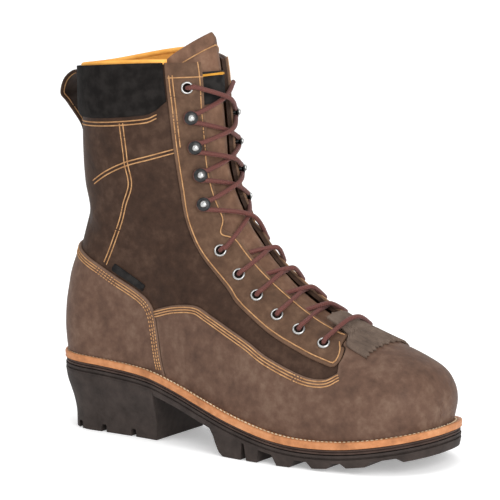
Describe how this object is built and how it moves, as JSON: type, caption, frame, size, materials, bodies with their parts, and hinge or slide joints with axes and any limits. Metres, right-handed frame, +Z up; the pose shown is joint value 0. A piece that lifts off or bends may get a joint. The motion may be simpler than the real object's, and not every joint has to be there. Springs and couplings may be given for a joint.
{
  "type": "logger boot",
  "caption": "Right high-laced leather logger boot with a raised heel, lugged rubber sole, fringed kiltie, speed hooks and a pull loop.",
  "frame": {"origin": "on the floor, at the middle of the heel's bottom face", "axes": "+X towards the toe, +Y towards the inner (medial) side, +Z up"},
  "size_m": [0.319, 0.1155, 0.2933],
  "materials": {
    "leather": "waxed, matt",
    "raised_leather": "waxed, matt",
    "suede": "napped",
    "lining": "brushed",
    "welt_leather": "burnished edge",
    "midsole": "matt",
    "rubber": "matt",
    "steel": "satin",
    "black_metal": "satin black",
    "lace": "braided",
    "tab": "woven"
  },
  "bodies": {
    "root": {"backstay": "raised_leather", "collar_cuff": "suede", "eyelet_lateral_1": "steel", "eyelet_lateral_2": "steel", "eyelet_lateral_3": "steel", "eyelet_lateral_4": "steel", "eyelet_lateral_5": "steel", "eyelet_lateral_6": "steel", "eyelet_lateral_7": "steel", "eyelet_medial_1": "steel", "eyelet_medial_2": "steel", "eyelet_medial_3": "steel", "eyelet_medial_4": "steel", "eyelet_medial_5": "steel", "eyelet_medial_6": "steel", "eyelet_medial_7": "steel", "eyestay_lateral": "raised_leather", "eyestay_medial": "raised_leather", "heel_counter": "raised_leather", "hook_lateral_1": "black_metal", "hook_lateral_2": "black_metal", "hook_lateral_3": "black_metal", "hook_lateral_4": "black_metal", "hook_medial_1": "black_metal", "hook_medial_2": "black_metal", "hook_medial_3": "black_metal", "hook_medial_4": "black_metal", "insole": "lining", "kiltie": "raised_leather", "lace_bar": "lace", "lace_crossing_1": "lace", "lace_crossing_10": "lace", "lace_crossing_2": "lace", "lace_crossing_3": "lace", "lace_crossing_4": "lace", "lace_crossing_5": "lace", "lace_crossing_6": "lace", "lace_crossing_7": "lace", "lace_crossing_8": "lace", "lace_crossing_9": "lace", "midsole": "midsole", "outsole": "rubber", "pull_loop": "raised_leather", "side_tab": "tab", "tongue": "leather", "tongue_label": "tab", "upper": "leather", "vamp": "raised_leather", "welt": "welt_leather"}
  },
  "joints": []
}
